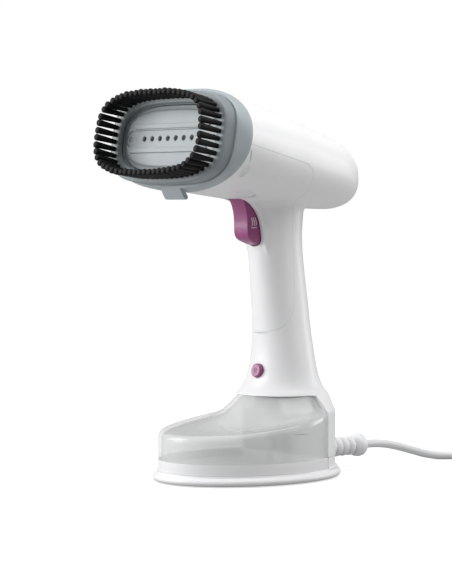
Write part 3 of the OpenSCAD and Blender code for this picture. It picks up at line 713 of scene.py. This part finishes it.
def add_foot():
    # Height and inset of the bead round the foot
    rim = [(0.8, 2.2), (1.0, 1.5), (1.5, 0.8), (2.2, 0.3), (3.0, 0.0), (3.8, 0.15), (4.6, 0.6), (5.2, 1.2),
           (5.6, 1.9), (6.0, 2.5), (6.6, 2.9), (FOOT_H, 3.0)]
    foot = loft("foot", [flat(oval(FOOT_A - inset, FOOT_B - inset, 2, 200), z) for z, inset in rim])
    cut(foot, loft("under", [flat(oval(FOOT_A - 5, FOOT_B - 5, 2, 200), z) for z in (5.5, -1.2)]))
    seat = prism("seat", rear_outline(WALL_A, WALL_B, SPINE_Y, 160), FOOT_H - 0.6, BAND_Z - 0.12)
    # Cove between the spine's wall and the foot
    cove = []
    for k in range(9):
        t = math.pi / 2 * k / 8
        grow = COVE_R * (1 - math.sin(t))
        cove.append(flat(rear_outline(WALL_A + grow * 0.3, WALL_B + grow * 0.9, SPINE_Y, 160),
                         FOOT_H - 0.4 + COVE_R * (1 - math.cos(t))))
    combine(foot, seat, "UNION")
    combine(foot, loft("cove", cove), "UNION")
    inner = prism("inner", rear_outline(WALL_A - SHELL_WALL, WALL_B - SHELL_WALL, SPINE_Y + SHELL_WALL, 80),
                  FOOT_H, BAND_Z + 2)
    cut(foot, inner, cord_hole())
    shade(foot)
    piece(foot, "base", "white_plastic", "base_foot")


add_foot()


# ---------- Tank ----------

TANK_A, TANK_B, TANK_BACK = WALL_A - 0.2, WALL_B - 0.2, SPINE_Y - 0.3
TANK_WALL = 2.2
TANK_POINTS = 180
RIM_ROUND = 3.6
FILL_Y = 18.0


def tank_oval(inset, z):
    return flat(oval(TANK_A - inset, TANK_B - inset, 2, TANK_POINTS), z)


def rim_height(y):
    return np.minimum(46.5, 34.0 + 0.05 * (y + 67) + 0.00058 * (y + 67) ** 2)


def tank_ring(u, inset, drop):
    """Ring from the tank's rim, at u = 0, to its neck under the handle, at u = 1."""
    t = np.arange(TANK_POINTS) * 2 * math.pi / TANK_POINTS
    rim = np.stack([(TANK_A - inset) * np.cos(t), (TANK_B - inset) * np.sin(t)], 1)
    neck_a, neck_b = NECK_A - 0.4 - inset, NECK_B - 0.4 - inset
    neck = np.stack([neck_a * np.cos(t), NECK_Y + neck_b * np.sin(t)], 1)
    p = rim + (neck - rim) * u
    low = rim_height(rim[:, 1]) - drop
    high = NECK_Z - 0.3 - drop
    hollow = 1 + 2.1 * np.clip((32 - rim[:, 1]) / 55, 0, 1) ** 0.8
    return np.column_stack([p, low + (high - low) * (0.06 * u + 0.94 * u ** hollow)])


def tank_volume(name, inset, drop, z0):
    """The tank's outside, or its inside when it is inset and its top dropped."""
    wall_top = tank_ring(0, inset, drop)
    rings = [tank_oval(inset, z0)]
    for f in (0.3, 0.6, 0.85):
        ring = wall_top.copy()
        ring[:, 2] = z0 + (wall_top[:, 2] - RIM_ROUND - z0) * f
        rings.append(ring)
    # Rounded rim
    for k in range(9):
        t = math.pi / 2 * k / 8
        ring = tank_ring(0.065 * (1 - math.cos(t)), inset, drop)
        ring[:, 2] = wall_top[:, 2] - RIM_ROUND * (1 - math.sin(t))
        rings.append(ring)
    inward = (0.085, 0.11, 0.15, 0.2, 0.27, 0.35, 0.44, 0.54, 0.65, 0.76, 0.88, 1)
    return loft(name, rings + [tank_ring(u, inset, drop) for u in inward])


def add_tank():
    tank = tank_volume("tank_wall", 0, 0, BAND_Z)
    cut(tank, behind(TANK_BACK))
    inner = tank_volume("tank_inner", TANK_WALL, TANK_WALL, BAND_Z - 1)
    cut(inner, behind(TANK_BACK - TANK_WALL))
    cut(tank, inner, rod("fill", (0, FILL_Y, 40), (0, FILL_Y, 70), 8),
        rod("fill_seat", (0, FILL_Y, 55.5), (0, FILL_Y, 70), 10.5),
        rod("valve", (0, 20, VALVE_Z), (0, 50, VALVE_Z), 5))
    weld(tank)
    shade(tank)
    piece(tank, "tank", "frosted_plastic", "tank_shell")
    mark = [((WALL_A - 0.3) * math.cos(t), (WALL_B - 0.3) * math.sin(t), 33.6)
            for t in np.linspace(-0.05, 0.11, 13)]
    printed(tube("level_mark", mark, 0.22, 8), "tank", DARK)
    tray = ((0.4, 7.54), (0.1, 7.7), (0.0, 8.1), (0.0, 14.99))
    floor = loft("tank_tray", [tank_oval(inset, z) for inset, z in tray])
    cut(floor, behind(TANK_BACK))
    hollow = loft("hollow", [tank_oval(TANK_WALL, z) for z in (9.8, 17.0)])
    cut(hollow, behind(TANK_BACK - TANK_WALL))
    cut(floor, hollow)
    shade(floor)
    piece(floor, "tank", "white_plastic", "tank_floor")


add_tank()


# ---------- Brush ----------

RING_A, RING_B, RING_N = 53.6, 27.2, 3.1
OPEN_A, OPEN_B = RING_A - 3.5, RING_B - 4
TUFTS, TUFT_LEN = 56, 18.0


def add_brush_frame():
    # Section from the opening over the front and back to the mouth, then inside: half width, half height,
    # squareness, shift up the face and distance out of it
    section = [(OPEN_A, OPEN_B, 3.0, 0, -3.4), (OPEN_A, OPEN_B, 3.0, 0, -0.9),
               (OPEN_A + 0.25, OPEN_B + 0.25, 3.0, 0, -0.35), (OPEN_A + 0.9, OPEN_B + 0.9, 3.05, 0, -0.05),
               (55.0, 28.2, 3.2, 0, 0.0), (57.0, 29.6, 3.25, 0, -0.05), (58.1, 30.7, 3.25, 0, -0.3),
               (58.7, 31.3, 3.25, 0, -1.1), (58.8, 31.4, 3.2, 0, -5.0), (58.6, 31.4, 3.15, 0, -8.4),
               (58.6, 31.4, 3.1, 0.1, -9.0), (59.6, 32.6, 3.0, 0.2, -9.1), (60.2, 33.3, 2.9, 0.3, -9.5),
               (60.6, 33.8, 2.8, 0.4, -10.6), (61.1, 34.5, 2.6, 0.6, -13.0), (61.8, 35.2, 2.35, 1.0, -17.0),
               (62.3, 35.6, 2.12, 1.5, -21.0), (62.1, 35.5, 2.1, 1.6, MOUTH + 0.4),
               (61.6, 35.1, 2.1, 1.6, MOUTH), (59.7, 33.4, 2.1, 1.6, MOUTH),
               (59.3, 33.2, 2.15, 1.5, -21.4), (59.2, 32.8, 2.4, 1.0, -16.0),
               (58.6, 31.8, 2.8, 0.5, -11.4), (57.9, 30.8, 2.9, 0.3, -8.8), (57.4, 30.2, 2.95, 0.1, -5.4),
               (56.4, 29.4, 3.0, 0, -3.7), (52.0, 25.0, 3.0, 0, -3.5)]
    rings = [head_outline(a, b, n, up, z, 220) for a, b, n, up, z in section]
    frame_piece = loft("brush_body", rings, wrap=True)
    # Release tab under the brush, seen from the side: up the face and out of it
    tab_side = [(-31.6, -8.9), (-34.8, -10.6), (-38.9, -13.8), (-39.7, -15.0), (-39.8, -16.2), (-39.2, -17.2),
                (-38.2, -17.5), (-37.2, -17.2), (-34.0, -14.0), (-31.6, -12.5)]
    combine(frame_piece, prism("tab", tab_side, -10, 10, axis="x"), "UNION")
    shade(frame_piece, 28)
    place(frame_piece, HEAD)
    piece(frame_piece, "brush", "grey_plastic", "brush_frame")


def add_bristles():
    """Each tuft is a bundle: fluted by its outer fibres, wider at the tip and ragged at the end."""
    rng = random.Random(11)
    flutes, rows = 10, 9
    count = flutes * 3
    root_r, tip_r = 1.55, 2.25
    tip_rows = ((0.93, 0.45), (0.72, 0.8), (0.4, 0.95))
    verts, faces = [], []
    for x, y in even_oval(RING_A, RING_B, RING_N, TUFTS, 0.5):
        phase = rng.uniform(0, 2 * math.pi)
        lean = (rng.uniform(-0.25, 0.25), rng.uniform(-0.25, 0.25))
        length = TUFT_LEN + rng.uniform(-0.35, 0.1)
        first = len(verts)
        angles = [phase + 2 * math.pi * k / count for k in range(count)]
        for row in range(rows):
            u = row / (rows - 1)
            z = 0.05 + (length - 1.0) * u
            for a in angles:
                r = (root_r + (tip_r - root_r) * u) * (1 + 0.055 * math.cos(flutes * (a - phase) + 1.6 * u))
                verts.append((x + lean[0] * u + r * math.cos(a), y + lean[1] * u + r * math.sin(a), z))
        for shrink, rise in tip_rows:
            for a in angles:
                r = tip_r * shrink * (1 + 0.05 * math.cos(flutes * (a - phase) + 1.6))
                verts.append((x + lean[0] + r * math.cos(a), y + lean[1] + r * math.sin(a),
                              length - 1.0 + rise + rng.uniform(-0.07, 0.07)))
        last = rows + len(tip_rows) - 1
        for row in range(last):
            for k in range(count):
                a0, a1 = first + row * count + k, first + row * count + (k + 1) % count
                faces.append((a0, a1, a1 + count, a0 + count))
        faces.append(tuple(first + k for k in range(count - 1, -1, -1)))
        faces.append(tuple(first + last * count + k for k in range(count)))
    tufts = mesh_object("tufts", verts, faces)
    shade(tufts, 60)
    place(tufts, HEAD)
    piece(tufts, "brush", "bristle", "bristle_tufts")


add_brush_frame()
add_bristles()


# ---------- Soleplate ----------

SOLE_Z = -4.0
HOLES, HOLE_PITCH, DIMPLE_X = 8, 8.2, 43.0


def add_soleplate():
    # Inset in width and height of the rim, and its height over the plate
    rim = [(0.5, 0.6, -3.0), (0.5, 0.6, -1.9), (0.8, 0.9, -1.5), (1.4, 1.5, -1.35), (2.7, 2.8, -1.35),
           (3.1, 3.2, -1.2), (3.7, 3.8, -0.45), (4.2, 4.3, -0.12), (5.0, 5.1, 0.0)]
    sole = loft("sole", [head_outline(OPEN_A - a, OPEN_B - b, 3, 0, SOLE_Z + dz) for a, b, dz in rim])
    # Ridges above and below the channel
    for s in (-1, 1):
        ridge = []
        for inset, z in ((0, -0.3), (0, 0.5), (0.25, 0.9), (0.8, 1.05)):
            w = 1.7 - inset
            ridge.append(np.array([(x, 8.2 * s + y * s, SOLE_Z + z) for x, y in
                                   ((-37 + inset, -w), (37 - inset, -w), (41 - 2 * inset, w),
                                    (-41 + 2 * inset, w))][::s]))
        combine(sole, loft("ridge", ridge, smooth=False), "UNION")
    # Shallow channel round the row of holes
    channel = []
    for z, grow in ((-0.9, 0.0), (-0.2, 0.2), (2.0, 1.0)):
        t = np.linspace(-math.pi / 2, math.pi / 2, 21)
        r = 5.6 + grow
        end = np.stack([41 + r * np.cos(t), r * np.sin(t)], 1)
        channel.append(flat(np.vstack([end, -end]), SOLE_Z + z))
    cut(sole, loft("channel", channel, smooth=False))
    hole_profile = [(1.75, SOLE_Z - 4), (1.75, SOLE_Z - 1.3), (2.5, SOLE_Z - 0.5), (2.6, SOLE_Z + 1)]
    dimple_profile = [(1.2, SOLE_Z - 1.6), (1.8, SOLE_Z - 1.2), (2.2, SOLE_Z + 1)]
    bores = [(HOLE_PITCH * (i - (HOLES - 1) / 2), hole_profile) for i in range(HOLES)]
    for x, profile in bores + [(-DIMPLE_X, dimple_profile), (DIMPLE_X, dimple_profile)]:
        bore = lathe("bore", profile, 40)
        place(bore, Matrix.Translation((x * MM, 0, 0)))
        cut(sole, bore)
    shade(sole, 25)
    place(sole, HEAD)
    piece(sole, "base", "sole_coating", "soleplate")


add_soleplate()


# ---------- Trigger and button ----------

def add_trigger():
    side = [(-10.4, 193.6), (-10.6, 192.6), (-8.6, 188.4), (-7.2, 184), (-6.4, 179), (-6.2, 172),
            (-5.8, 168.4), (-4.2, 165.6), (-1.6, 163.8), (2.4, 162.1), (6.4, 160.6), (9, 161), (10.6, 164),
            (11.6, 176), (12, 184), (11.4, 190), (10, 195), (2.6, 195), (-4, 194.6)]
    outline = catmull(side + side[:1], 3)[:-1]
    body = prism("trigger_body", outline, -7, 7, axis="x")
    combine(body, prism("tongue", tongue(0), -20, 20, axis="y"), "INTERSECT")
    m = body.modifiers.new("edges", "BEVEL")
    m.width, m.segments, m.use_clamp_overlap = 1.1 * MM, 5, True
    m.limit_method, m.angle_limit = "ANGLE", math.radians(50)
    bake(body)
    combine(body, rod("hub", (-6, PIN_Y, PIN_Z), (6, PIN_Y, PIN_Z), 4.2), "UNION")
    cut(body, rod("bore", (-20, PIN_Y, PIN_Z), (20, PIN_Y, PIN_Z), 1.55),
        rod("spring_seat", (0, 9.5, 168.1), (0, 14.4, 168.9), 3.9))
    weld(body)
    shade(body, 40)
    piece(body, "trigger", "purple_plastic", "trigger")
    # Steam mark: three wavy lines over a bar
    x, r = 6.98, 0.24
    for k in range(3):
        wave = [(x, -0.4 + 1.75 * (k - 1) + 0.5 * math.sin(4.6 * u), 174.4 + 5.8 * u)
                for u in np.linspace(0, 1, 15)]
        printed(tube("steam_line_%d" % k, wave, r, 8), "trigger", ICON)
    bar = [(x, y, 173.1) for y in np.linspace(-2.9, 2.1, 6)]
    printed(tube("steam_bar", bar, r, 8), "trigger", ICON)


add_trigger()


# ---------- Remaining CAD nodes ----------

def paint_cad():
    slots = {s["node"]: s["material_slot"] for s in frame["record"]["subparts"]}
    for name, obj in frame["nodes"].items():
        paint(obj, slots[name])


paint_cad()


# ---------- Cord's pieces ----------

def add_strain_relief():
    """Ribbed sleeve, thinner between its ribs, with a rounded collar where the cord comes out."""
    start, end = WALL_B - 6, RELIEF_END
    bore_r = 2.95
    profile = [(bore_r, start), (5.9, start), (5.9, start + 7.4)]
    for i in range(5):
        y0 = WALL_B + 2 + 6.4 * i
        r, core = 7.1 - 0.06 * i, 4.6 - 0.12 * i
        profile += [(core, y0), (r - 1.0, y0 + 0.25), (r - 0.2, y0 + 0.8), (r, y0 + 1.6),
                    (r + 0.05, y0 + 2.6), (r - 0.15, y0 + 3.7), (r - 0.9, y0 + 4.4), (core, y0 + 4.8)]
    profile += [(4.0, end - 9.7), (6.9, end - 9.2), (7.9, end - 8.2), (8.3, end - 6.4), (8.35, end - 4.4),
                (8.0, end - 2.4), (7.2, end - 1.1), (5.4, end - 0.35), (3.6, end - 0.05), (bore_r, end)]
    relief = lathe("relief", profile, 64, wrap=True)
    turn = Matrix.Rotation(math.radians(-90), 4, "X")
    place(relief, Matrix.Translation((0, 0, RELIEF_Z * MM)) @ turn)
    shade(relief, 50)
    piece(relief, "base", "white_plastic", "strain_relief")


def add_coil_tie():
    """Strap round the wound turns."""
    section = catmull([(25.0, 10), (25.4, 18.2), (28.5, 19.9), (35, 20.0), (41.5, 19.9), (44.6, 18.2),
                       (45.0, 10), (44.6, 2.0), (41.5, 0.5), (35, 0.4), (28.5, 0.5), (25.4, 2.0),
                       (25.0, 10)], 4)[:-1]
    centre = section.mean(axis=0)
    inner = centre + (section - centre) * 0.955
    rings = []
    for outline, half in ((inner, 4.4), (section, 4.6), (section, -4.6), (inner, -4.4)):
        rings.append(np.column_stack([outline[:, 0], np.full(len(outline), float(half)), outline[:, 1]]))
    tie = loft("coil_tie", rings, wrap=True)
    turn = Matrix.Rotation(math.radians(-20), 4, "Z")
    place(tie, Matrix.Translation((COIL_X * MM, COIL_Y * MM, 0)) @ turn)
    shade(tie, 40)
    piece(tie, "base", "rubber")
    return tie


def add_plug():
    """Moulded plug: ribbed sleeve, shoulder and a rounded block that the pins stand in."""
    # Distance along the plug, half height, half width and squareness
    rows = [(0.0, 3.3, 3.3, 2), (0.6, 3.8, 3.8, 2)]
    for i in range(4):
        x = 1.0 + 2.7 * i
        r = 4.2 + 0.35 * i
        rows += [(x, r - 0.5, r - 0.5, 2), (x + 0.4, r, r, 2), (x + 1.6, r, r, 2),
                 (x + 2.0, r - 0.5, r - 0.5, 2)]
    rows += [(12.2, 5.4, 5.4, 2), (13.5, 6.4, 7.2, 2.1), (16.0, 7.6, 10.2, 2.3), (19.0, 8.3, 14.2, 2.6),
             (22.0, 8.55, 16.6, 2.9), (26.0, 8.6, 17.5, 3), (34.0, 8.6, 17.6, 3), (36.6, 8.4, 17.4, 3),
             (37.5, 7.9, 16.9, 3), (37.8, 7.2, 16.2, 3)]
    rings = []
    for x, high, wide, n in rows:
        o = oval(high, wide, n, 96)
        rings.append(np.column_stack([np.full(96, x), o[:, 1], -o[:, 0]]))
    plug = loft("plug", rings)
    for y in (-9.5, 9.5):
        cut(plug, rod("pin_hole", (30, y, 0), (42, y, 0), 2.4))
    for side in (-1, 1):
        for k in range(5):
            x = 23.5 + 2.4 * k
            cut(plug, rod("grip", (x, side * 18.1, -6), (x, side * 18.1, 6), 0.9, 20))
    turn = Matrix.Rotation(math.radians(PLUG_TURN), 4, "Z")
    place(plug, Matrix.Translation(Vector(PLUG_AT) * MM) @ turn)
    shade(plug, 35)
    return piece(plug, "base", "cord_sheath", "plug_body")


add_strain_relief()
TIE = add_coil_tie()
PLUG = add_plug()
piece(LEAD, "base", "cord_sheath", "mains_cord", "cord_coil", "cord_tail")


# ---------- Floor and light ----------

def add_stage():
    half = 6.0 / MM
    corners = [(-half, -half, 0), (half, -half, 0), (half, half, 0), (-half, half, 0)]
    floor = mesh_object("floor", corners, [(0, 1, 2, 3)])
    mat = bpy.data.materials.new("floor")
    mat.use_nodes = True
    tree = mat.node_tree
    bsdf = tree.nodes["Principled BSDF"]
    bsdf.inputs["Base Color"].default_value = (0.42, 0.42, 0.42, 1)
    bsdf.inputs["Roughness"].default_value = 0.9
    bsdf.inputs["Emission Color"].default_value = (1, 1, 1, 1)
    # The floor shows white to the camera without lighting the piece from below
    where = tree.nodes.new("ShaderNodeTexCoord")
    away = tree.nodes.new("ShaderNodeVectorMath")
    away.operation = "LENGTH"
    fade = node(tree, "ShaderNodeMapRange", From_Min=0.25, From_Max=1.2, To_Min=0.68, To_Max=0.95)
    seen = tree.nodes.new("ShaderNodeLightPath")
    glow = tree.nodes.new("ShaderNodeMath")
    glow.operation = "MULTIPLY"
    tree.links.new(where.outputs["Object"], away.inputs[0])
    tree.links.new(away.outputs["Value"], fade.inputs["Value"])
    tree.links.new(fade.outputs["Result"], glow.inputs[0])
    tree.links.new(seen.outputs["Is Camera Ray"], glow.inputs[1])
    tree.links.new(glow.outputs["Value"], bsdf.inputs["Emission Strength"])
    floor.data.materials.append(mat)
    world = bpy.data.worlds.new("studio")
    SCENE.world = world
    world.use_nodes = True
    tree = world.node_tree
    background = tree.nodes["Background"]
    background.inputs["Color"].default_value = (1, 1, 1, 1)
    background.inputs["Strength"].default_value = 0.34
    # The backdrop itself is white
    backdrop = tree.nodes.new("ShaderNodeBackground")
    backdrop.inputs["Color"].default_value = (1, 1, 1, 1)
    mix = tree.nodes.new("ShaderNodeMixShader")
    rays = tree.nodes.new("ShaderNodeLightPath")
    tree.links.new(rays.outputs["Is Camera Ray"], mix.inputs[0])
    tree.links.new(background.outputs[0], mix.inputs[1])
    tree.links.new(backdrop.outputs[0], mix.inputs[2])
    tree.links.new(mix.outputs[0], tree.nodes["World Output"].inputs["Surface"])


def add_light(name, at, aim, size, power):
    data = bpy.data.lights.new(name, "AREA")
    data.shape = "RECTANGLE"
    data.size, data.size_y = size
    data.energy = power
    obj = bpy.data.objects.new(name, data)
    obj.location = at
    obj.rotation_euler = (Vector(aim) - Vector(at)).to_track_quat("-Z", "Y").to_euler()
    SCENE.collection.objects.link(obj)


add_stage()
add_light("key", (-0.78, -0.97, 0.55), (0, 0, 0.2), (0.9, 0.9), 15.5)
add_light("top", (0.2, 0.05, 0.95), (0, 0, 0.2), (1.1, 1.1), 9.5)
add_light("rim", (0.6, 1.5, 0.4), (0, 0, 0.13), (0.5, 0.8), 6)
SCENE.view_settings.view_transform = "Standard"
SCENE.view_settings.look = "None"
